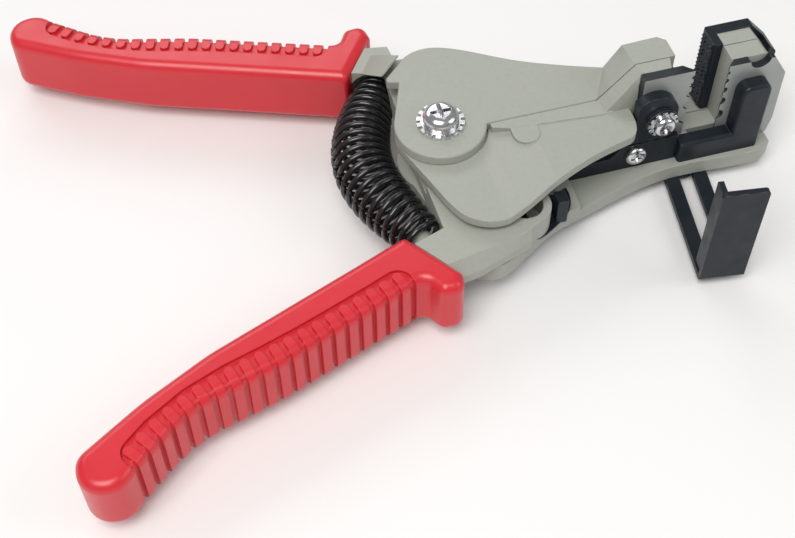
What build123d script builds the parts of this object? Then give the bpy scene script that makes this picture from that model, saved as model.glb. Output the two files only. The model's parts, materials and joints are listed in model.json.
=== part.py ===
from build123d import *
import math
import os

# Automatic wire stripper, lying on its side.
# X runs from the handles to the jaws, Y across the two heads, Z up.
# The origin is on the main pivot's axis, in the plane of the grips' undersides.
# "A" is the far half (+Y, gripping jaws), "B" the near half (-Y, cutting jaws).

# ---------------------------------------------------------------- driving sizes
GRIP_HEIGHT = 15.7          # thickness of the moulded grips
SPLIT_Y = -3.15             # plane between head A and head B
SPLIT_GAP = 0.15            # each head stays this far from the plane
JAW_TRAVEL = 8.0            # the fixed jaws are drawn this far towards the moving jaws
JAW_TOP = 29.8              # height of the beaks and of the fixed jaws
SLOT_FLOOR = 9.0            # floor of the wire slot
BLADE_EDGE = 58.2           # cutting edge of the moving blade
GAP_END = 66.3              # cutting edge of the fixed blade

# heights of the stacked layers at the main pivot
FLANGE_LOW, FLANGE_SPLIT, FLANGE_TOP = 2.7, 5.2, 7.8
ARM_LOW, ARM_SPLIT, ARM_TOP = 8.4, 11.4, 14.4
PLATE_B_LOW, PLATE_B_TOP = 15.7, 17.95
PLATE_A_LOW, PLATE_A_TOP = 18.1, 20.6
PLATE_B_RISE = 2.3          # how much plate B climbs on its way to the head

PIVOT_HOLE = 3.3
NUT_TOP = 2.6
SLEEVE_RADIUS = 3.24
SCREW_RADIUS = 2.5
LOBE_RADIUS = 10.8
DRIVE_HOLE_A, DRIVE_HOLE_B = (14.7, 20.2), (12.9, -24.0)    # lost-motion holes in the handles
DRIVE_PIN_A, DRIVE_PIN_B = (13.9, 22.6), (13.8, -26.4)      # pins on the frames, inside those holes
DRIVE_HOLE_RADIUS = 4.1
DRIVE_PIN_RADIUS = 1.4
EYE_WALL = 1.9              # metal left round a lost-motion hole

PAD_SCREW = (54.0, 17.4)
BLADE_THICK = 2.5
FIXED_BLADE_FACE = -10.2
CLAMP_FACE = -13.9
BASE_TOP = 4.1

TANG_LOW, TANG_TOP = 2.0, 13.7
NECK_TOP = 14.4

RIB_COUNT = 20
RIB_PITCH = 3.53
RIB_WIDTH = 2.2
RIB_HEIGHT = 0.9            # how far the ribs stand out of the sunk band
RIB_BAND_ROUND = 3.5
GRIP_ROUND = 2.4            # rounding along the grips' top and bottom edges

A_SIDE = SPLIT_Y + SPLIT_GAP
B_SIDE = SPLIT_Y - SPLIT_GAP


# ---------------------------------------------------------------- small helpers
def prism(face, low, high):
    """A flat face in the XY plane, raised from one height to another."""
    return extrude(Pos(0, 0, low) * face, amount=high - low)


def polygon(*points):
    return make_face(Polyline(*points, close=True))


def rounded(*corners):
    """A polygon whose corners (x, y, radius) are rounded off."""
    face = polygon(*[(x, y) for x, y, radius in corners])
    for x, y, radius in corners:
        if radius:
            face = fillet(face.vertices().sort_by_distance((x, y, 0))[0], radius)
    return face


def box(x0, y0, z0, x1, y1, z1):
    middle = Pos((x0 + x1) / 2, (y0 + y1) / 2, (z0 + z1) / 2)
    return middle * Box(x1 - x0, y1 - y0, z1 - z0)


def rod_z(x, y, low, high, radius):
    return Pos(x, y, (low + high) / 2) * Cylinder(radius, high - low)


def rod_y(x, z, near, far, radius):
    """A cylinder along Y, from its near end to its far end."""
    return Pos(x, (near + far) / 2, z) * Rot(90, 0, 0) * Cylinder(radius, far - near)


def side_prism(near, far, *points):
    """An outline in XZ, run from one Y to another."""
    face = Plane.XZ * polygon(*points)
    return Pos(0, far, 0) * extrude(face, amount=far - near)


def mirrored(part):
    return mirror(part, about=Plane.XZ)


def level(part, z):
    """The edges of a part that lie flat at one height."""
    return part.edges().filter_by(lambda e: abs(e.bounding_box().min.Z - z) < 1e-4
                                  and abs(e.bounding_box().max.Z - z) < 1e-4)


def cross_recess(width, depth):
    """A Phillips recess, pointing down from the origin."""
    cutter = None
    for turn in (0, 90):
        face = Plane.XZ * polygon((-width, 0.6), (width, 0.6), (width, 0),
                                  (width * 0.35, -depth), (-width * 0.35, -depth), (-width, 0))
        wing = Rot(0, 0, turn) * extrude(face, amount=width * 0.18, both=True)
        cutter = wing if cutter is None else cutter + wing
    return cutter


def pan_screw(head_radius, head_height, shank_radius, shank_length):
    """A pan head screw standing on the XY plane, shank down, with a cross recess."""
    dome = Cylinder(head_radius, head_height)
    dome = Pos(0, 0, head_height / 2) * dome
    dome = fillet(level(dome, head_height), head_height * 0.7)
    dome -= Pos(0, 0, head_height) * cross_recess(head_radius * 0.6, head_height * 0.7)
    return dome + Pos(0, 0, -shank_length / 2) * Cylinder(shank_radius, shank_length)


def star_washer(inner, outer, teeth, thickness):
    """An external-tooth lock washer standing on the XY plane."""
    root = outer * 0.84
    ring = Circle(root) - Circle(inner)
    width = 2 * math.pi * outer / teeth * 0.55
    for turn in range(teeth):
        angle = 360 * turn / teeth
        tooth = Rot(0, 0, angle) * Pos((root + outer) / 2 - 0.3, 0) * Rectangle(
            outer - root + 0.6, width)
        ring += tooth
    return extrude(ring, amount=thickness)


# ---------------------------------------------------------------- levers (moving jaws)
def lever_a_outline():
    far = Spline((-2.0, 23.6), (4.7, 25.0), (10.9, 22.7), (22.3, 15.7), (32.3, 10.9), (42.6, 6.9))
    lobe_end = (math.sqrt(LOBE_RADIUS ** 2 - A_SIDE ** 2), A_SIDE)
    lobe_start = (-10.1, math.sqrt(LOBE_RADIUS ** 2 - 10.1 ** 2))
    lobe = ThreePointArc(lobe_end, (0, -LOBE_RADIUS), lobe_start)
    right = Polyline((42.6, 6.9), (46.0, 6.9), (46.0, A_SIDE), lobe_end)
    left = Polyline(lobe_start, (-5.6, 15.6), (-8.3, 16.5), (-8.2, 17.7), (-2.0, 23.6))
    return make_face([far, right, lobe, left])


def beak_a():
    foot = Pos(0, 0, PLATE_A_TOP - 1.2) * polygon(
        (36.2, A_SIDE), (42.4, 7.0), (53.0, 7.0), (55.8, 5.0), (55.8, A_SIDE))
    crown = Pos(0, 0, JAW_TOP) * polygon(
        (46.0, A_SIDE), (45.2, 3.7), (54.0, 4.0), (55.8, 2.4), (55.8, A_SIDE))
    return loft([foot, crown], ruled=True)


def make_lever_a():
    plate = prism(lever_a_outline(), PLATE_A_LOW, PLATE_A_TOP)
    plate = fillet(level(plate, PLATE_A_TOP), 0.45)
    beak = beak_a()
    jaw = box(49.0, A_SIDE, SLOT_FLOOR + 0.3, 55.8, 3.9, 21.0)
    body = plate + beak + jaw
    body -= gripper_pad_block(0.0)
    body -= rod_z(0, 0, 15, 25, SCREW_RADIUS + 0.1)
    return body - rod_y(*PAD_SCREW, -1, 5, 1.05) - rod_y(*PAD_SCREW, 3.3, 8, 1.9)


def gripper_pad_block(teeth):
    """The serrated steel insert in the end of beak A; teeth is their height."""
    block = box(52.4, A_SIDE + 0.3, SLOT_FLOOR + 0.4, 55.8, 3.3, 26.4)
    if teeth:
        pitch = 1.2
        ridges = Part()
        for row in range(14):
            z = SLOT_FLOOR + 0.9 + row * pitch
            ridges += side_prism(A_SIDE + 0.3, 3.3, (55.7, z - 0.5), (55.8 + teeth, z), (55.7, z + 0.5))
        block += ridges
    return block


def make_gripper_pad():
    return gripper_pad_block(0.5) - rod_y(*PAD_SCREW, -1, 5, 1.05)


def make_pad_screw():
    screw = Rot(-90, 0, 0) * pan_screw(1.8, 1.1, 1.0, 4.0)
    return Pos(PAD_SCREW[0], 3.3, PAD_SCREW[1]) * screw


def lever_b_outline():
    left_top = (-10.1, -math.sqrt(LOBE_RADIUS ** 2 - 10.1 ** 2))
    lobe_end = (math.sqrt(LOBE_RADIUS ** 2 - B_SIDE ** 2), B_SIDE)
    lobe = ThreePointArc(lobe_end, (0, LOBE_RADIUS), left_top)
    left = Line(left_top, (-4.9, -20.2))
    corner = Spline((-4.9, -20.2), (-1.6, -26.6), (3.4, -29.4), (10.6, -28.4),
                    tangents=((0.38, -1), (1, 0.42)))
    belly = Spline((10.6, -28.4), (19.0, -24.4), (31.7, -18.9), (40.6, -16.5),
                   tangents=((1, 0.42), (1, 0.25)))
    tip = Spline((40.6, -16.5), (43.4, -13.4), (43.9, -7.7), tangents=((1, 0.25), (0, 1)))
    top = Polyline((43.9, -7.7), (43.9, B_SIDE), lobe_end)
    return make_face([lobe, left, corner, belly, tip, top])


def rising_slab(low, high):
    """A slab that is flat under the lobe and climbs towards the head."""
    return side_prism(-40, 15, (-20, low), (7, low), (20, low + PLATE_B_RISE), (60, low + PLATE_B_RISE),
                      (60, high + PLATE_B_RISE), (20, high + PLATE_B_RISE), (7, high), (-20, high))


def raised_band():
    """The raised strip beside the parting line, with its rounded pad."""
    band = polygon((11.0, B_SIDE), (11.0, -4.6), (15.0, -6.0), (36.0, -7.8), (40.0, -7.8), (40.0, B_SIDE))
    pad = Pos(18.2, -8.2) * Circle(3.2)
    neck = polygon((15.0, -4.5), (21.4, -4.5), (21.4, -8.2), (15.0, -8.2))
    strip = prism(band, PLATE_B_LOW + PLATE_B_RISE, PLATE_A_TOP - 0.05)
    return strip + prism(pad + neck, PLATE_B_LOW + PLATE_B_RISE, PLATE_A_TOP - 0.1)


def beak_b():
    foot = Pos(0, 0, PLATE_A_TOP - 2.0) * polygon(
        (35.6, B_SIDE), (36.2, -7.8), (44.0, -7.8), (53.6, -6.9), (54.4, B_SIDE))
    crown = Pos(0, 0, JAW_TOP) * polygon(
        (46.0, B_SIDE), (46.6, -6.0), (47.4, -6.7), (53.4, -6.7), (54.4, B_SIDE))
    return loft([foot, crown], ruled=True)


def make_lever_b():
    plate = prism(lever_b_outline(), 10, 25) & rising_slab(PLATE_B_LOW, PLATE_B_TOP)
    lobe_room = rod_z(0, 0, PLATE_B_TOP, 25, LOBE_RADIUS + 0.35)
    beak = beak_b()
    jaw = box(49.0, -6.7, SLOT_FLOOR + 0.3, 54.4, B_SIDE, 22.0)
    body = plate + raised_band() - lobe_room + beak + jaw
    body -= rod_z(0, 0, 10, 25, PIVOT_HOLE)
    body -= box(45.7, -12, 0, 60, MOVING_FACE + BLADE_THICK, 40)
    return body - rod_y(*MOVING_SCREW, -8, -3.4, 1.2)


# ---------------------------------------------------------------- blades
NOTCHES = [(27.9, 0.55), (25.4, 0.7), (22.4, 0.9), (18.8, 1.15), (14.3, 1.45)]
MOVING_FACE = -9.25         # near face of the moving blade
MOVING_SCREW = (50.4, 18.6)
EAR_FACE = -11.9            # near face of the moving blade's clamp


def bevel_cut(edge, back, far, near):
    """Material ground off the far side of a blade, leaving its edge on the near face."""
    side = 1 if back < edge else -1
    face = polygon((back, far), (edge + side, far), (edge + side, near + 0.2), (edge, near + 0.35))
    return prism(face, 0, 40)


def make_moving_blade():
    far = MOVING_FACE + BLADE_THICK
    plate = side_prism(MOVING_FACE, far, (45.8, 13.6), (45.8, JAW_TOP + 0.2), (BLADE_EDGE, JAW_TOP + 0.2),
                       (BLADE_EDGE, SLOT_FLOOR + 0.3), (49.0, SLOT_FLOOR + 0.3))
    for z, radius in NOTCHES:
        plate -= rod_y(BLADE_EDGE, z, MOVING_FACE - 1, far + 1, radius)
    plate -= bevel_cut(BLADE_EDGE, BLADE_EDGE - 2.2, far, MOVING_FACE)
    return plate - rod_y(*MOVING_SCREW, MOVING_FACE - 1, far + 1, 1.4)


def make_moving_clamp():
    """The black plate with a rounded top that holds the moving blade to beak B."""
    back = MOVING_FACE
    ear = rod_y(48.7, 20.6, EAR_FACE, back, 5.7)
    foot = side_prism(EAR_FACE, back, (44.2, 12.3), (44.2, 20.0), (54.4, 20.0), (54.4, 14.0), (52.7, 12.3))
    pad = rod_y(*MOVING_SCREW, EAR_FACE - 0.7, EAR_FACE, 3.9)
    plate = ear + foot + pad
    plate -= box(30, -20, 0, 44.2, 0, 40)
    return plate - rod_y(*MOVING_SCREW, -20, -8, 1.35)


def make_moving_screw():
    head = Rot(90, 0, 0) * pan_screw(2.7, 1.9, 1.2, 8.6)
    return Pos(MOVING_SCREW[0], EAR_FACE - 1.3, MOVING_SCREW[1]) * head


def make_moving_washer():
    ring = Rot(90, 0, 0) * star_washer(1.4, 3.7, 12, 0.6)
    return Pos(MOVING_SCREW[0], EAR_FACE - 0.7, MOVING_SCREW[1]) * ring


def countersink(top_radius, bottom_radius):
    """A cone, wide end at the origin and pointing down."""
    height = top_radius - bottom_radius
    return Pos(0, 0, -height / 2) * Cone(bottom_radius, top_radius, height)


def fixed_jaw_outline():
    """Side view of a fixed jaw: upright, with the corner at the top cut off."""
    return [(67.9, 4.0), (67.9, JAW_TOP), (76.3, JAW_TOP), (80.6, 24.2), (80.6, 4.0)]


def make_fixed_blade():
    near, far = FIXED_BLADE_FACE, -8.15
    plate = side_prism(near, far, (GAP_END, SLOT_FLOOR - 4.8), (GAP_END, JAW_TOP + 0.2), (77.8, JAW_TOP + 0.2),
                       (81.6, 24.2), (81.9, 9.0), (81.0, SLOT_FLOOR - 4.8))
    for z, radius in NOTCHES:
        plate -= rod_y(GAP_END, z, near - 1, far + 1, radius)
    plate -= rod_y(74.2, JAW_TOP + 0.4, near - 1, far + 1, 2.6)
    plate -= bevel_cut(GAP_END, GAP_END + 1.8, far, near)
    for x, z in CLAMP_BOLTS:
        plate -= rod_y(x, z, near - 1, far + 1, 1.3)
    return plate


# ---------------------------------------------------------------- frames (fixed jaws)
CLAMP_BOLTS = [(73.4, 13.0), (73.4, 20.5)]
LOWER_SCREW = (45.1, 8.9)
STOP_SCREW = (59.4, -10.4)
BRACKET_SCREW = (73.0, 15.5)


def flange_outline(side):
    """The rear flange of frame B; frame A's is its mirror image."""
    rim = Spline((26.0, -23.4), (20.5, -25.2), (9.2, -32.0), (3.3, -34.4), (-1.6, -32.4), (-4.2, -24.0))
    rear = Line((-4.2, -24.0), (-8.2, -6.0))
    lobe = ThreePointArc((-8.2, -6.0), (-10.2, 0), (-8.2, 6.0))
    inner = Polyline((-8.2, 6.0), (0, 11.4), (9.0, 6.5), (24.0, B_SIDE), (27.5, B_SIDE),
                     (27.5, -22.8), (26.0, -23.4))
    face = make_face([rim, rear, lobe, inner])
    return face if side < 0 else mirror(face, about=Plane.XZ)


def pivot_slot():
    """Lets the frames slide along the pivot sleeve."""
    return box(0, -PIVOT_HOLE, 0, JAW_TRAVEL + 0.3, PIVOT_HOLE, 12) + rod_z(0, 0, 0, 12, PIVOT_HOLE) \
        + rod_z(JAW_TRAVEL + 0.3, 0, 0, 12, PIVOT_HOLE)


def base_outline_b():
    front = Spline((24.0, -22.4), (40.2, -17.6), (53.4, -14.9), (66.0, -15.1), (77.4, -15.5))
    nose = Polyline((77.4, -15.5), (80.6, -13.4), (80.6, B_SIDE), (24.0, B_SIDE), (24.0, -22.4))
    return make_face([front, nose])


def base_outline_a():
    front = Spline((24.0, 16.2), (40.2, 9.0), (53.4, 5.6), (66.0, 5.0), (77.4, 4.6))
    nose = Polyline((77.4, 4.6), (80.6, 2.6), (80.6, A_SIDE), (24.0, A_SIDE), (24.0, 16.2))
    return make_face([front, nose])


def make_frame_b():
    flange = prism(flange_outline(-1), FLANGE_LOW, FLANGE_TOP)
    flange -= rod_z(0, 0, 0, FLANGE_SPLIT + 0.1, 14.6)
    flange = flange & box(-40, -60, 0, 60, 11.6, 20)
    far_part = box(-40, B_SIDE, 0, 60, 20, 20) - rod_z(0, 0, 0, 20, 11.4)
    flange -= far_part
    base = prism(base_outline_b(), 0, BASE_TOP)
    web = box(26.0, -8.1, 0, 80.6, B_SIDE, SLOT_FLOOR)
    rib = box(26.0, FIXED_BLADE_FACE - 0.1, 0, 60.0, -8.1, 8.6)
    boss = rod_y(*LOWER_SCREW, FIXED_BLADE_FACE - 0.1, B_SIDE, 2.9)
    upright = side_prism(-8.1, B_SIDE, *fixed_jaw_outline())
    body = flange + base + web + rib + boss + upright
    body -= pivot_slot()
    body -= rod_y(*LOWER_SCREW, -12, -5.0, 1.5)
    body -= rod_z(*DRIVE_PIN_B, 0, 12, DRIVE_PIN_RADIUS)
    body -= rod_z(*LATCH_PIN, 0, 12, 1.2)
    body -= rod_z(*STOP_SCREW, -1, 5, 1.5)
    for x, z in CLAMP_BOLTS:
        body -= rod_y(x, z, -9, 0, 1.3)
        body -= Pos(x, B_SIDE, z) * Rot(-90, 0, 0) * countersink(2.4, 1.2)
    return body


def make_frame_a():
    flange = prism(flange_outline(1), FLANGE_LOW, FLANGE_TOP)
    flange -= rod_z(0, 0, FLANGE_SPLIT - 0.1, 20, 14.6)
    near_part = box(-40, -20, 0, 60, A_SIDE, 20) - rod_z(0, 0, 0, 20, 11.4)
    flange -= near_part
    base = prism(base_outline_a(), 0, BASE_TOP)
    web = box(26.0, A_SIDE, 0, 80.6, 3.9, SLOT_FLOOR)
    upright = side_prism(A_SIDE, 1.0, *fixed_jaw_outline())
    body = flange + base + web + upright
    body -= pivot_slot()
    body -= rod_z(*DRIVE_PIN_A, 0, 12, DRIVE_PIN_RADIUS)
    body -= bracket_seat()
    return body - rod_y(*BRACKET_SCREW, -2.0, 5, 1.25)


# ---------------------------------------------------------------- gripper bracket
def bracket_seat():
    """Room for the steel bracket round upright A, down to the slot floor."""
    return box(60, 1.0, SLOT_FLOOR, 90, 10, 40)


def make_gripper_bracket():
    """A steel strap round upright A, with a serrated face towards the gap."""
    outer = side_prism(A_SIDE, 3.7, (65.7, SLOT_FLOOR + 0.2), (65.7, JAW_TOP + 0.3), (77.1, JAW_TOP + 0.3),
                       (82.6, 24.2), (82.6, 21.0), (79.0, 17.0), (79.0, SLOT_FLOOR + 0.2))
    outer = fillet(outer.edges().filter_by(Axis.Z).filter_by(lambda e: e.center().X < 66), 0.8)
    strap = outer - box(67.85, A_SIDE - 1, 0, 80.65, 1.05, 40)
    strap -= box(80.6, A_SIDE - 1, 0, 90, 1.05, 20.9)
    pitch = 1.25
    for row in range(16):
        z = SLOT_FLOOR + 1.0 + row * pitch
        strap += side_prism(A_SIDE + 0.9, 2.8, (65.75, z - 0.5), (65.2, z), (65.75, z + 0.5))
    for column in (-0.9, 1.2):
        strap -= box(65.0, column - 0.2, 0, 65.65, column + 0.2, 40)
    return strap - rod_y(*BRACKET_SCREW, -2.0, 5, 1.25)


def make_bracket_screw():
    return Pos(BRACKET_SCREW[0], 3.7, BRACKET_SCREW[1]) * Rot(-90, 0, 0) * pan_screw(2.3, 1.5, 1.2, 5.4)


# ---------------------------------------------------------------- frame plates
SIDE_FACE = -12.0


def make_side_plate():
    """The black plate along frame B's web, held by the lower screw."""
    back = FIXED_BLADE_FACE - 0.1
    plate = side_prism(SIDE_FACE, back, (27.6, BASE_TOP), (27.6, 8.4), (38.6, 8.6), (41.8, 11.9), (56.0, 11.9),
                       (56.0, BASE_TOP))
    return plate - rod_y(*LOWER_SCREW, -20, -8, 1.55)


def make_blade_clamp():
    """The thick L-shaped plate that clamps the fixed blade to frame B's upright."""
    back = FIXED_BLADE_FACE - 0.1
    right, top, foot_top = 77.0, 25.0, 10.2
    body = side_prism(CLAMP_FACE, back, (56.2, BASE_TOP), (56.2, foot_top), (69.2, foot_top), (69.2, top),
                      (right, top), (right, BASE_TOP))
    body = fillet(body.edges().filter_by(Axis.Y).filter_by(lambda e: e.center().Z > top - 1), 2.5)
    near = body.faces().sort_by(Axis.Y)[0]
    body = fillet(near.edges().filter_by(lambda e: e.center().Z > BASE_TOP + 1), 0.9)
    for x, z in CLAMP_BOLTS:
        body -= rod_y(x, z, -12.8, -8, 1.2)
    return body


def make_clamp_bolts():
    bolts = []
    for x, z in CLAMP_BOLTS:
        body = countersink(2.3, 1.15) + Pos(0, 0, -4.6) * Cylinder(1.15, 9.2)
        body -= cross_recess(1.3, 0.8)
        bolts.append(Pos(x, B_SIDE, z) * Rot(-90, 0, 0) * body)
    return Compound(bolts)


def make_lower_screw():
    return Pos(LOWER_SCREW[0], SIDE_FACE, LOWER_SCREW[1]) * Rot(90, 0, 0) * pan_screw(2.7, 1.8, 1.45, 6.6)


# ---------------------------------------------------------------- handles
RIB_EDGE = [(-16.4, -38.6), (-33.0, -45.0), (-49.8, -50.8), (-66.6, -56.2), (-74.2, -60.4), (-82.4, -67.0)]
TANG = [(-12.6, -27.7), (-62.0, -46.6), (-80.0, -57.2), (-83.4, -62.0), (-76.0, -58.0), (-60.0, -51.4),
        (-8.2, -34.8)]
GRIP_OUTLINE = [(-6.6, -38.8, 1.0), (-7.3, -43.4, 2.6), (-12.4, -42.9, 2.0), (-15.2, -38.2, 2.5),
                (-50.0, -51.3, 70), (-70.5, -56.9, 30), (-83.2, -67.4, 6), (-86.0, -70.6, 5.5),
                (-94.4, -69.3, 5.7), (-94.2, -61.2, 4.5), (-79.4, -51.8, 60), (-64.0, -44.0, 40),
                (-16.1, -25.5, 1.0)]


def grip_outline(shrink=0.0):
    """Plan of grip B: finger guard, ribbed outer edge, rounded knob, straight inner edge."""
    face = rounded(*GRIP_OUTLINE)
    return offset(face, amount=-shrink) if shrink else face


def rib_edge_point(edge, place, depth):
    """A point on the ribbed edge, moved into the grip by a depth."""
    at = edge @ place
    along = edge % place
    return (at.X - along.Y * depth, at.Y + along.X * depth)


def ribbed_region(edge, depth, start, stop):
    """Plan of the sunk band that carries the ribs, rounded where it ends inside the grip."""
    steps = 8
    corners = []
    for k in range(steps + 1):
        radius = RIB_BAND_ROUND if k in (0, steps) else 0
        corners.append((*rib_edge_point(edge, start + (stop - start) * k / steps, -depth), radius))
    for k in range(steps, -1, -1):
        corners.append((*rib_edge_point(edge, start + (stop - start) * k / steps, 6), 0))
    return rounded(*corners)


def make_grip_b():
    outer = prism(grip_outline(), 0, GRIP_HEIGHT)
    outer = fillet(level(outer, GRIP_HEIGHT) + level(outer, 0), GRIP_ROUND)
    core = prism(grip_outline(RIB_HEIGHT), RIB_HEIGHT, GRIP_HEIGHT - RIB_HEIGHT)
    core = fillet(level(core, GRIP_HEIGHT - RIB_HEIGHT) + level(core, RIB_HEIGHT), 1.4)
    edge = Spline(*RIB_EDGE)
    first = 3.4 / edge.length
    last = first + RIB_PITCH * (RIB_COUNT - 1) / edge.length
    margin = 2.6 / edge.length
    region = prism(ribbed_region(edge, 5.6, first - margin, last + margin), -1, GRIP_HEIGHT + 1)
    ribs = Part()
    for rib in range(RIB_COUNT):
        place = first + (last - first) * rib / (RIB_COUNT - 1)
        at = edge @ place
        along = edge % place
        turn = math.degrees(math.atan2(along.Y, along.X))
        bar = Pos(at.X, at.Y) * Rot(0, 0, turn) * (
            Pos(0, -0.3) * Rectangle(RIB_WIDTH, 6.6) + Pos(0, -3.6) * Circle(RIB_WIDTH / 2))
        ribs += prism(bar, -2, GRIP_HEIGHT + 2)
    grip = outer - (region - ribs - core)
    return grip - prism(polygon(*TANG), TANG_LOW, TANG_TOP) - prism(rounded(*NECK), 0, 20)


NECK = [(-14.4, -27.9, 0), (-7.0, -25.4, 4.0), (-0.6, -23.4, 0), (12.0, -24.0, 0), (12.2, -31.8, 0),
        (9.0, -33.0, 3.0), (-1.8, -36.6, 5.0), (-7.6, -37.6, 0)]
ARM = [(-6.9, -26.0), (-7.2, -2.0), (7.2, -2.0), (9.0, -13.0), (14.6, -18.4), (16.4, -28.6), (11.0, -31.6),
       (-3.0, -33.8)]
ARM_A_TRIM = [(-3.8, 42.0), (-3.5, 34.5), (-3.0, 29.2), (8.0, 28.4), (16.0, 26.8), (30.0, 26.0),
              (30.0, 42.0)]
THICK_NECK_END = -8.0       # the neck is full depth up to here; past it the frame slides below
BEVEL_LOW = 10.6            # where the bevel along the neck's outer edge begins


def neck_bevel():
    """What is cut off along the outer top edge of neck B."""
    low = Pos(0, 0, BEVEL_LOW) * polygon(
        (-10.0, -38.2), (-1.8, -36.7), (8.8, -33.1), (12.6, -31.8), (14.0, -42.0), (-10.0, -46.0))
    high = Pos(0, 0, NECK_TOP + 0.1) * polygon(
        (-10.0, -35.6), (-2.8, -34.2), (8.9, -32.1), (12.6, -31.1), (14.0, -42.0), (-10.0, -46.0))
    return loft([low, high], ruled=True)


def handle_blank(hole):
    """Tang, neck, arm and eye of handle B, before the lap joint is cut."""
    tang = prism(polygon(*TANG), TANG_LOW, TANG_TOP)
    neck = prism(rounded(*NECK), TANG_LOW, NECK_TOP) - neck_bevel()
    neck -= box(THICK_NECK_END, -50, 0, 30, -10, ARM_LOW)
    arm = prism(polygon(*ARM), ARM_LOW, ARM_TOP) - neck_bevel()
    eye = rod_z(*hole, ARM_LOW, ARM_TOP, DRIVE_HOLE_RADIUS + EYE_WALL)
    body = tang + neck + arm + eye + rod_z(0, 0, ARM_LOW, ARM_TOP, 7.6)
    body -= rod_z(0, 0, 0, 20, PIVOT_HOLE)
    return body - rod_z(*hole, 0, 20, DRIVE_HOLE_RADIUS)


def lap_room(low, high):
    """The space that the other handle's boss turns in."""
    return rod_z(0, 0, low, high, 8.6) + box(-9, -12.5, low, 9, 10, high)


def make_handle_b():
    return handle_blank(DRIVE_HOLE_B) - lap_room(ARM_SPLIT - 0.1, 20) - seat_pocket(1) + seat_stud(1)


def make_handle_a():
    hole = (DRIVE_HOLE_A[0], -DRIVE_HOLE_A[1])
    body = mirrored(handle_blank(hole) - lap_room(0, ARM_SPLIT + 0.1))
    body -= prism(polygon(*ARM_A_TRIM), 0, 20)
    return body + neck_ramp() - seat_pocket(0) + seat_stud(0)


def neck_ramp():
    """The ramp on neck A that climbs from the grip to the edge of lever A's tab."""
    low = Pos(0, 0, ARM_TOP - 1.0) * polygon((-12.6, 28.2), (-9.0, 34.0), (-3.2, 32.4), (-8.6, 25.8))
    high = Pos(0, 0, PLATE_A_TOP - 0.1) * polygon((-9.0, 18.4), (-8.6, 19.2), (-3.2, 24.4), (-3.6, 23.8))
    return loft([low, high], ruled=True)


# ---------------------------------------------------------------- main pivot
def make_pivot_sleeve():
    sleeve = rod_z(0, 0, NUT_TOP, PLATE_B_TOP + 0.1, SLEEVE_RADIUS)
    return sleeve - rod_z(0, 0, 0, 30, SCREW_RADIUS + 0.05)


def make_pivot_nut():
    nut = prism(RegularPolygon(5.0, 6), 0.0, NUT_TOP)
    return nut - rod_z(0, 0, -1, 3, SCREW_RADIUS + 0.05)


def make_pivot_screw():
    return Pos(0, 0, PLATE_A_TOP + 0.9) * pan_screw(4.3, 3.0, SCREW_RADIUS, PLATE_A_TOP + 0.9)


def make_pivot_washer():
    return Pos(0, 0, PLATE_A_TOP) * star_washer(SCREW_RADIUS + 0.1, 5.7, 16, 0.9)


def make_pivot_spacer():
    ring = rod_z(0, 0, ARM_TOP + 0.1, PLATE_B_LOW - 0.1, 6.0)
    return ring - rod_z(0, 0, 0, 30, PIVOT_HOLE)


# ---------------------------------------------------------------- main spring
SPRING_PATH = [(-8.6, 26.6), (-15.6, 13.4), (-18.2, 1.8), (-15.8, -10.6), (-10.6, -24.2)]
SPRING_Z = 8.0
SPRING_COILS = 22
SPRING_WIRE = 0.75
SPRING_END_RADIUS, SPRING_MID_RADIUS = 4.2, 6.7
POINTS_PER_COIL = 10
SEAT_RADIUS = 2.6


def spring_route():
    return Spline(*[(x, y, SPRING_Z) for x, y in SPRING_PATH])


def coil_point(route, share):
    """A point on the barrel-shaped coil, at a share of its length."""
    swell = math.sin(math.pi * share) ** 0.8 if 0 < share < 1 else 0
    radius = SPRING_END_RADIUS + (SPRING_MID_RADIUS - SPRING_END_RADIUS) * swell
    turn = 2 * math.pi * SPRING_COILS * share
    middle = route @ share
    along = route % share
    across = Vector(-along.Y, along.X, 0) * (radius * math.cos(turn))
    return middle + across + Vector(0, 0, radius * math.sin(turn))


def make_main_spring():
    route = spring_route()
    count = SPRING_COILS * POINTS_PER_COIL
    coil = Spline(*[coil_point(route, k / count) for k in range(count + 1)])
    start = Plane(coil @ 0, z_dir=coil % 0) * Circle(SPRING_WIRE)
    return sweep(start, path=coil, is_frenet=True)


def seat_place(share, depth):
    """A plane across the spring's route at one of its ends, moved outwards by a depth."""
    route = spring_route()
    outward = (route % share) * (1 if share else -1)
    return Plane(route @ share + outward * depth, z_dir=outward)


def seat_stud(share):
    """The stud on a neck that the end of the spring sits on."""
    place = seat_place(share, -2.2)
    return extrude(place * Circle(SEAT_RADIUS), amount=5.6)


def seat_pocket(share):
    """Room in a neck for the end coil of the spring."""
    place = seat_place(share, -7.0)
    return extrude(place * Circle(6.1), amount=7.0 + SPRING_WIRE + 0.4)


# ---------------------------------------------------------------- drive pins and latch
LATCH_PIN = (22.0, -17.5)


def make_drive_pin(place):
    return rod_z(*place, FLANGE_LOW, ARM_TOP - 0.6, DRIVE_PIN_RADIUS)


def make_latch():
    """The catch that delays the return of the heads, with its upright finger tab."""
    rim = Spline((19.0, -19.6), (11.6, -28.0), (13.4, -29.5), (18.9, -27.8), (24.0, -24.0), (25.8, -17.0))
    plate = prism(make_face([rim, Line((25.8, -17.0), (19.0, -19.6))]), FLANGE_TOP + 0.1, FLANGE_TOP + 0.5)
    tab = box(20.0, -26.4, FLANGE_TOP + 0.1, 22.6, -23.0, 15.2)
    return plate + tab - rod_z(*LATCH_PIN, 0, 20, 1.25) - rod_z(*DRIVE_PIN_B, 0, 20, DRIVE_PIN_RADIUS + 1.3)


def make_latch_pin():
    return rod_z(*LATCH_PIN, FLANGE_LOW, FLANGE_TOP + 1.2, 1.2)


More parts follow.
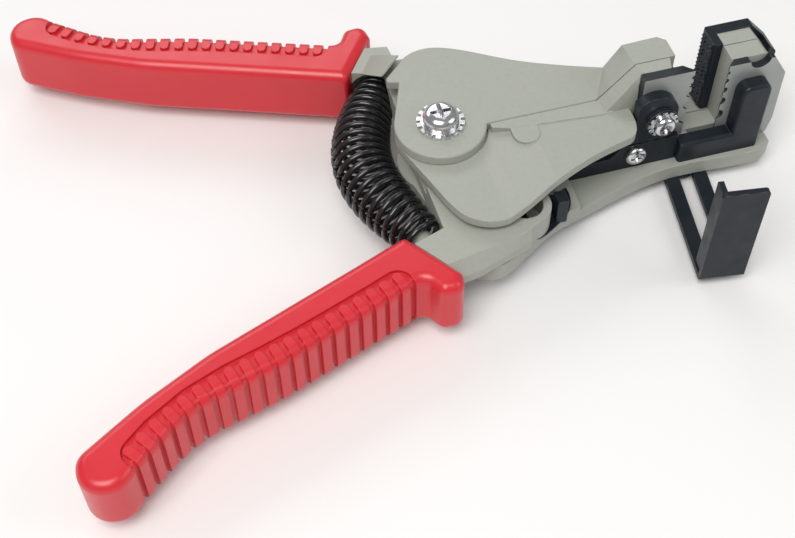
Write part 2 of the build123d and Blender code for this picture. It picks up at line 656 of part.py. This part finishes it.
# ---------------------------------------------------------------- wire stop
STOP_TURN = -8.0
STOP_THICK = 1.3
STOP_WIDTH = 10.6
STOP_REACH = 34.3           # from the clamp screw to the stop plate
STOP_TOP = 28.8


def stop_place():
    return Pos(STOP_SCREW[0], STOP_SCREW[1]) * Rot(0, 0, STOP_TURN)


def make_wire_stop():
    half = STOP_WIDTH / 2
    bar = box(-half, -STOP_REACH, -0.2 - STOP_THICK, half, 4.0, -0.2)
    slot = box(-1.8, -STOP_REACH + 3.0, -3, 1.8, 0.0, 1) + rod_z(0, 0, -3, 1, 1.8)
    plate = box(-half, -STOP_REACH - STOP_THICK, -0.2 - STOP_THICK, half, -STOP_REACH, STOP_TOP)
    plate = fillet([e for e in plate.edges().filter_by(Axis.Y) if e.center().Z > 20], 1.0)
    side = box(-half, -STOP_REACH - 0.5, 1.5, -half + STOP_THICK, -STOP_REACH + 3.0, STOP_TOP)
    bent = bar - slot + plate + side
    bend = bent.edges().filter_by(Axis.X).sort_by(lambda e: e.center().Y + e.center().Z)[0]
    return stop_place() * fillet(bend, STOP_THICK - 0.1)


def make_stop_washer():
    ring = rod_z(0, 0, -0.2 - STOP_THICK - 0.8, -0.2 - STOP_THICK, 3.6) - rod_z(0, 0, -5, 1, 1.55)
    return stop_place() * ring


def make_stop_screw():
    low = -0.2 - STOP_THICK - 0.8
    screw = rod_z(0, 0, low, 3.6, 1.45) + rod_z(0, 0, low - 0.9, low, 2.8)
    return stop_place() * (screw - Pos(0, 0, low - 0.9) * Rot(180, 0, 0) * cross_recess(1.6, 0.6))


# ---------------------------------------------------------------- write the parts
NODES = {
    "lever_a": make_lever_a, "lever_b": make_lever_b,
    "gripper_pad": make_gripper_pad, "gripper_pad_screw": make_pad_screw,
    "moving_blade": make_moving_blade, "moving_blade_clamp": make_moving_clamp,
    "moving_blade_screw": make_moving_screw, "moving_blade_washer": make_moving_washer,
    "frame_a": make_frame_a, "frame_b": make_frame_b,
    "gripper_bracket": make_gripper_bracket, "gripper_bracket_screw": make_bracket_screw,
    "fixed_blade": make_fixed_blade, "fixed_blade_clamp": make_blade_clamp,
    "fixed_blade_bolts": make_clamp_bolts, "side_plate": make_side_plate, "side_plate_screw": make_lower_screw,
    "handle_a": make_handle_a, "handle_b": make_handle_b,
    "grip_a": lambda: mirrored(make_grip_b()), "grip_b": make_grip_b,
    "main_spring": make_main_spring,
    "pivot_screw": make_pivot_screw, "pivot_washer": make_pivot_washer, "pivot_sleeve": make_pivot_sleeve,
    "pivot_nut": make_pivot_nut, "pivot_spacer": make_pivot_spacer,
    "drive_pin_a": lambda: make_drive_pin(DRIVE_PIN_A), "drive_pin_b": lambda: make_drive_pin(DRIVE_PIN_B),
    "latch": make_latch, "latch_pin": make_latch_pin,
    "wire_stop": make_wire_stop, "stop_washer": make_stop_washer, "stop_screw": make_stop_screw,
}

os.makedirs("parts", exist_ok=True)
for name, make in NODES.items():
    part = make()
    part.label = name
    export_step(part, f"parts/{name}.step")
    print(name, round(part.volume, 1))
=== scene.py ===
import json
import math

import bpy
import numpy as np
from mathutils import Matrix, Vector


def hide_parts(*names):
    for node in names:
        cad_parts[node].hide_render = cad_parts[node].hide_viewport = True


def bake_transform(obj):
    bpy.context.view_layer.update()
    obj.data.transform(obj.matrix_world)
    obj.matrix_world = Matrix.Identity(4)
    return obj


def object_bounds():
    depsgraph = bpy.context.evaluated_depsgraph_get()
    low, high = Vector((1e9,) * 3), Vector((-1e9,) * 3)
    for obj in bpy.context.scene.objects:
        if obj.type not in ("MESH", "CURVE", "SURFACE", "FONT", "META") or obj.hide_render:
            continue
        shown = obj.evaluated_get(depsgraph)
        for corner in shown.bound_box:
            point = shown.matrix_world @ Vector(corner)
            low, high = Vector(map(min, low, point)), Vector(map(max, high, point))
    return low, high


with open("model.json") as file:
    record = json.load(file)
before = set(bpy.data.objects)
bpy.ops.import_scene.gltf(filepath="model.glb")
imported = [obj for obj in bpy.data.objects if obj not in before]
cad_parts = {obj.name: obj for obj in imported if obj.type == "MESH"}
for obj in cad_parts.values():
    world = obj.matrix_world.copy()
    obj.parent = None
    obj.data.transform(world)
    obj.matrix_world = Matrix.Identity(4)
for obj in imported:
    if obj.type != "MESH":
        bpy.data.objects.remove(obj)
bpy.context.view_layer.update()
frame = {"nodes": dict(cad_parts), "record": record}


# ---------------------------------------------------------------- materials
EDGE_BEGINS, EDGE_FULL = 0.995, 0.9     # softened normal times true normal, from flat to edge
GRAIN_LOW, GRAIN_HIGH = 0.42, 0.62      # stretch of the noise over which edge wear and painted edge highlight fade in
SHARP_ANGLE = math.radians(32)


class Shader:
    """A node material built step by step round one Principled BSDF."""

    def __init__(self, name, colour, metallic=0.0, roughness=0.5, **sockets):
        self.material = bpy.data.materials.new(name)
        self.material.use_nodes = True
        self.tree = self.material.node_tree
        self.bsdf = self.tree.nodes["Principled BSDF"]
        self.bsdf.inputs["Base Color"].default_value = (*colour, 1)
        self.bsdf.inputs["Metallic"].default_value = metallic
        self.bsdf.inputs["Roughness"].default_value = roughness
        for socket, value in sockets.items():
            self.bsdf.inputs[socket.replace("_", " ")].default_value = value
        coordinates = self.node("ShaderNodeTexCoord")
        self.place = coordinates.outputs["Object"]
        self.part_normal = coordinates.outputs["Normal"]
        self.normal = None

    def node(self, kind, **settings):
        made = self.tree.nodes.new(kind)
        for key, value in settings.items():
            setattr(made, key, value)
        return made

    def link(self, start, end):
        self.tree.links.new(start, end)

    def noise(self, size, detail=3.0, stretch=(1, 1, 1)):
        """Noise with features about this large, in metres."""
        texture = self.node("ShaderNodeTexNoise")
        texture.inputs["Scale"].default_value = 1 / size
        texture.inputs["Detail"].default_value = detail
        mapping = self.node("ShaderNodeMapping")
        mapping.inputs["Scale"].default_value = stretch
        self.link(self.place, mapping.inputs["Vector"])
        self.link(mapping.outputs["Vector"], texture.inputs["Vector"])
        return texture.outputs["Fac"]

    def facing(self, axis):
        """How far a face of the part points along one of its own axes, from -1 to 1."""
        split = self.node("ShaderNodeSeparateXYZ")
        self.link(self.part_normal, split.inputs["Vector"])
        return split.outputs[axis]

    def remap(self, value, low, high, to_low, to_high):
        made = self.node("ShaderNodeMapRange")
        made.inputs["From Min"].default_value = low
        made.inputs["From Max"].default_value = high
        made.inputs["To Min"].default_value = to_low
        made.inputs["To Max"].default_value = to_high
        self.link(value, made.inputs["Value"])
        return made.outputs["Result"]

    def tint(self, mask, colour):
        """Mixes another colour in where the mask is high."""
        mix = self.node("ShaderNodeMix", data_type="RGBA")
        base = self.bsdf.inputs["Base Color"]
        if base.links:
            self.link(base.links[0].from_socket, mix.inputs["A"])
        else:
            mix.inputs["A"].default_value = base.default_value
        mix.inputs["B"].default_value = (*colour, 1)
        self.link(mask, mix.inputs["Factor"])
        self.link(mix.outputs["Result"], base)

    def vary_roughness(self, mask, low, high):
        self.link(self.remap(mask, 0.3, 0.7, low, high), self.bsdf.inputs["Roughness"])

    def bump(self, height, distance, strength=1.0):
        made = self.node("ShaderNodeBump")
        made.inputs["Distance"].default_value = distance
        made.inputs["Strength"].default_value = strength
        self.link(height, made.inputs["Height"])
        if self.normal:
            self.link(self.normal, made.inputs["Normal"])
        self.normal = made.outputs["Normal"]
        self.link(self.normal, self.bsdf.inputs["Normal"])

    def soften_edges(self, radius):
        """Rounds the shading of sharp edges; returns a mask that is high on them."""
        bevel = self.node("ShaderNodeBevel", samples=6)
        bevel.inputs["Radius"].default_value = radius
        self.normal = bevel.outputs["Normal"]
        self.link(self.normal, self.bsdf.inputs["Normal"])
        geometry = self.node("ShaderNodeNewGeometry")
        dot = self.node("ShaderNodeVectorMath", operation="DOT_PRODUCT")
        self.link(bevel.outputs["Normal"], dot.inputs[0])
        self.link(geometry.outputs["True Normal"], dot.inputs[1])
        return self.remap(dot.outputs["Value"], EDGE_BEGINS, EDGE_FULL, 0.0, 1.0)


def edge_wear_and_highlight(shader, edge, grain, colour, amount):
    """Edge wear on some finishes, painted edge highlight on others: the edge mask broken up by noise,
    tinted towards a colour.
    """
    product = shader.node("ShaderNodeMath", operation="MULTIPLY", use_clamp=True)
    shader.link(edge, product.inputs[0])
    shader.link(shader.remap(grain, GRAIN_LOW, GRAIN_HIGH, 0.0, amount), product.inputs[1])
    shader.tint(product.outputs["Value"], colour)


def cast_paint():
    s = Shader("cast_paint", (0.372, 0.386, 0.342), roughness=0.46)
    edge = s.soften_edges(0.00035)
    s.tint(s.remap(s.noise(0.022), 0.3, 0.7, 0.0, 0.35), (0.340, 0.357, 0.322))
    s.tint(s.remap(s.noise(0.0012, 5), 0.45, 0.75, 0.0, 0.18), (0.26, 0.27, 0.24))
    edge_wear_and_highlight(s, edge, s.noise(0.003), (0.50, 0.50, 0.46), 0.8)
    s.vary_roughness(s.noise(0.004), 0.40, 0.54)
    s.bump(s.noise(0.0028, 2), 0.00006, 0.7)
    s.bump(s.noise(0.0005, 2), 0.00002, 0.6)
    return s.material


def red_plastic():
    s = Shader("red_plastic", (0.66, 0.021, 0.034), roughness=0.38, Coat_Weight=0.20, Coat_Roughness=0.30,
               Subsurface_Weight=0.06, Subsurface_Scale=0.002)
    edge = s.soften_edges(0.00030)
    s.tint(s.remap(s.noise(0.03), 0.3, 0.7, 0.0, 0.4), (0.58, 0.017, 0.028))
    # brighter, redder edges: a painted edge highlight, not wear
    edge_wear_and_highlight(s, edge, s.noise(0.004), (0.72, 0.03, 0.035), 0.6)
    s.vary_roughness(s.noise(0.006), 0.28, 0.40)
    s.bump(s.noise(0.0006, 3), 0.00002, 0.7)
    return s.material


def black_steel():
    s = Shader("black_steel", (0.009, 0.014, 0.020), metallic=0.1, roughness=0.42, Specular_IOR_Level=0.35)
    edge = s.soften_edges(0.0002)
    s.tint(s.remap(s.noise(0.008), 0.35, 0.7, 0.0, 0.5), (0.020, 0.026, 0.036))
    edge_wear_and_highlight(s, edge, s.noise(0.0015), (0.16, 0.17, 0.19), 0.8)
    s.vary_roughness(s.noise(0.003), 0.34, 0.50)
    s.bump(s.noise(0.0004, 3), 0.000015, 0.6)
    return s.material


def bright_screw():
    s = Shader("bright_plate", (0.72, 0.72, 0.74), metallic=1.0, roughness=0.16)
    edge = s.soften_edges(0.00015)
    s.tint(s.remap(s.noise(0.002), 0.4, 0.7, 0.0, 0.5), (0.52, 0.52, 0.55))
    # near-white edges: a painted glint along the edges, not wear
    edge_wear_and_highlight(s, edge, s.noise(0.001), (0.9, 0.9, 0.9), 0.6)
    s.vary_roughness(s.noise(0.0012), 0.10, 0.26)
    s.bump(s.noise(0.0003, 3), 0.00001, 0.5)
    return s.material


def ground_blade():
    """Black oxide, ground bright on the near face only."""
    s = Shader("ground_blade", (0.016, 0.020, 0.024), metallic=0.4, roughness=0.40)
    edge = s.soften_edges(0.00012)
    ground = s.remap(s.facing("Y"), -0.7, -0.95, 0.0, 1.0)
    s.tint(ground, (0.37, 0.385, 0.375))
    s.tint(s.remap(s.noise(0.006), 0.35, 0.7, 0.0, 0.18), (0.20, 0.22, 0.22))
    edge_wear_and_highlight(s, edge, s.noise(0.0008), (0.50, 0.51, 0.53), 0.8)
    s.vary_roughness(s.noise(0.002), 0.30, 0.46)
    s.bump(s.noise(0.0008, 2, (1, 1, 24)), 0.000012, 0.7)
    return s.material


def gloss_black():
    s = Shader("gloss_black", (0.010, 0.010, 0.012), metallic=0.2, roughness=0.18, Coat_Weight=0.5,
               Coat_Roughness=0.12)
    s.tint(s.remap(s.noise(0.003), 0.4, 0.7, 0.0, 0.5), (0.022, 0.022, 0.026))
    s.vary_roughness(s.noise(0.0015), 0.14, 0.28)
    s.bump(s.noise(0.0004, 2), 0.00001, 0.5)
    return s.material


FINISHES = {"cast_grey": cast_paint(), "red_grip": red_plastic(), "black_steel": black_steel(),
            "bright_screw": bright_screw(), "blade_steel": ground_blade(), "spring_black": gloss_black()}


def paint(piece, slot_name):
    piece.data.materials.clear()
    piece.data.materials.append(FINISHES[slot_name])


for row in frame["record"]["subparts"]:
    node = frame["nodes"][row["node"]]
    paint(node, row["material_slot"])
    node.data.shade_smooth()
    node.data.set_sharp_from_angle(angle=SHARP_ANGLE)


# ---------------------------------------------------------------- handle spring
SPRING_PATH = np.array([(-8.6, 26.6), (-15.6, 13.4), (-18.2, 1.8), (-15.8, -10.6), (-10.6, -24.2)]) / 1000
SPRING_Z = 0.008
SPRING_COILS = 22
SPRING_WIRE = 0.00075
END_RADIUS, MID_RADIUS = 0.0042, 0.0067
SWELL_POWER = 0.8           # below 1, the barrel widens quickly from its ends
CURVE_DEGREE = 4
CURVE_POINTS = 4000
STEPS, SIDES = 40, 16       # points along one coil, and round the wire
WIRE_UP = (0.3, 0.1, 0.95)  # a direction that the wire never runs along
FIRST_CUT, SECOND_CUT = 0.34, 0.66     # where its three stretches meet, as shares of its length


def spring_centres():
    """Even steps along the bowed centreline from 0 to 1, and the points there."""
    curve = np.polynomial.Polynomial.fit(SPRING_PATH[:, 1], SPRING_PATH[:, 0], CURVE_DEGREE)
    y = np.linspace(SPRING_PATH[0, 1], SPRING_PATH[-1, 1], CURVE_POINTS)
    points = np.stack([curve(y), y, np.full_like(y, SPRING_Z)], 1)
    run = np.r_[0, np.cumsum(np.linalg.norm(np.diff(points, axis=0), axis=1))]
    share = np.linspace(0, 1, SPRING_COILS * STEPS + 1)
    return share, np.stack([np.interp(share * run[-1], run, points[:, k]) for k in range(3)], 1)


def unit(vectors):
    return vectors / np.linalg.norm(vectors, axis=1)[:, None]


def spring_line(share, centres):
    """The wire's own centreline: a coil whose radius swells in the middle."""
    along = unit(np.gradient(centres, axis=0))
    across = np.cross((0, 0, 1), along)
    radius = END_RADIUS + (MID_RADIUS - END_RADIUS) * np.sin(np.pi * share) ** SWELL_POWER
    turn = 2 * np.pi * SPRING_COILS * share
    up = np.outer(radius * np.sin(turn), (0, 0, 1))
    return centres + across * (radius * np.cos(turn))[:, None] + up


def tube(name, line, first, last):
    """A closed mesh round one stretch of a line."""
    along = unit(np.gradient(line, axis=0))[first:last + 1]
    side = unit(np.cross(along, WIRE_UP))
    other = np.cross(along, side)
    angle = np.linspace(0, 2 * np.pi, SIDES, endpoint=False)
    ring = side[:, None] * np.cos(angle)[None, :, None] + other[:, None] * np.sin(angle)[None, :, None]
    points = (line[first:last + 1, None] + ring * SPRING_WIRE).reshape(-1, 3)
    count = last - first + 1
    faces = []
    for low in range(0, (count - 1) * SIDES, SIDES):
        for j in range(SIDES):
            following = (j + 1) % SIDES
            faces.append((low + j, low + following, low + SIDES + following, low + SIDES + j))
    faces.append(tuple(range(SIDES)))
    faces.append(tuple(range(count * SIDES - 1, (count - 1) * SIDES - 1, -1)))
    mesh = bpy.data.meshes.new(name)
    mesh.from_pydata(points.tolist(), [], [face[::-1] for face in faces])
    mesh.shade_smooth()
    mesh.set_sharp_from_angle(angle=math.radians(40))
    made = bpy.data.objects.new(name, mesh)
    bpy.context.scene.collection.objects.link(made)
    return made


def build_spring():
    """The spring in three stretches, one across each of the hinges between the two handles."""
    share, centres = spring_centres()
    line = spring_line(share, centres)
    cuts = [0, round(FIRST_CUT * len(line)), round(SECOND_CUT * len(line)), len(line) - 1]
    pairs = [("grip_handle_a", "head_a"), ("head_a", "head_b"), ("head_b", "grip_handle_b")]
    for number, (start, end) in enumerate(pairs):
        first, last = cuts[number], cuts[number + 1]
        piece = tube(f"main_spring_{number + 1}", line, first, last)
        paint(piece, "spring_black")
        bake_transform(piece)
        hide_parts("main_spring")


build_spring()


# ---------------------------------------------------------------- floor, lights, camera
FLOOR_SIZE = 6
FLOOR_GAP = 0.0002          # the floor lies this far under the lowest point


def area_light(name, place, target, size, power, colour=(1, 1, 1)):
    light = bpy.data.lights.new(name, "AREA")
    light.shape = "RECTANGLE"
    light.size, light.size_y = size
    light.energy = power
    light.color = colour
    made = bpy.data.objects.new(name, light)
    made.location = place
    made.rotation_euler = (Vector(target) - Vector(place)).to_track_quat("-Z", "Y").to_euler()
    bpy.context.scene.collection.objects.link(made)


def build_floor():
    bpy.ops.mesh.primitive_plane_add(size=FLOOR_SIZE, location=(0, 0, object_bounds()[0].z - FLOOR_GAP))
    floor = bpy.context.object
    floor.name = "floor"
    s = Shader("floor", (0.86, 0.86, 0.86), roughness=0.7)
    floor.data.materials.append(s.material)


def build_lights():
    area_light("key", (-0.25, -0.30, 0.75), (0, 0, 0), (0.5, 0.5), 5.3, (1.0, 0.98, 0.95))
    area_light("fill", (0.55, -0.25, 0.45), (0, 0, 0), (0.4, 0.4), 0.9, (0.95, 0.98, 1.0))
    area_light("back", (-0.10, 0.60, 0.50), (0, 0, 0), (0.7, 0.3), 1.6)
    world = bpy.data.worlds.new("studio")
    world.use_nodes = True
    world.node_tree.nodes["Background"].inputs["Color"].default_value = (1, 1, 1, 1)
    world.node_tree.nodes["Background"].inputs["Strength"].default_value = 0.31
    bpy.context.scene.world = world


def build_camera():
    camera = bpy.data.objects.new("camera", bpy.data.cameras.new("camera"))
    camera.data.lens = 59.0
    camera.data.sensor_width = 36
    camera.location = (-0.0652, -0.1994, 0.2412)
    camera.rotation_euler = [math.radians(a) for a in (37.15, 0.43, -15.83)]
    camera.data.clip_start, camera.data.clip_end = 0.01, 20
    bpy.context.scene.collection.objects.link(camera)
    bpy.context.scene.camera = camera


build_floor()
build_lights()
build_camera()
bpy.context.scene.view_settings.view_transform = "Standard"
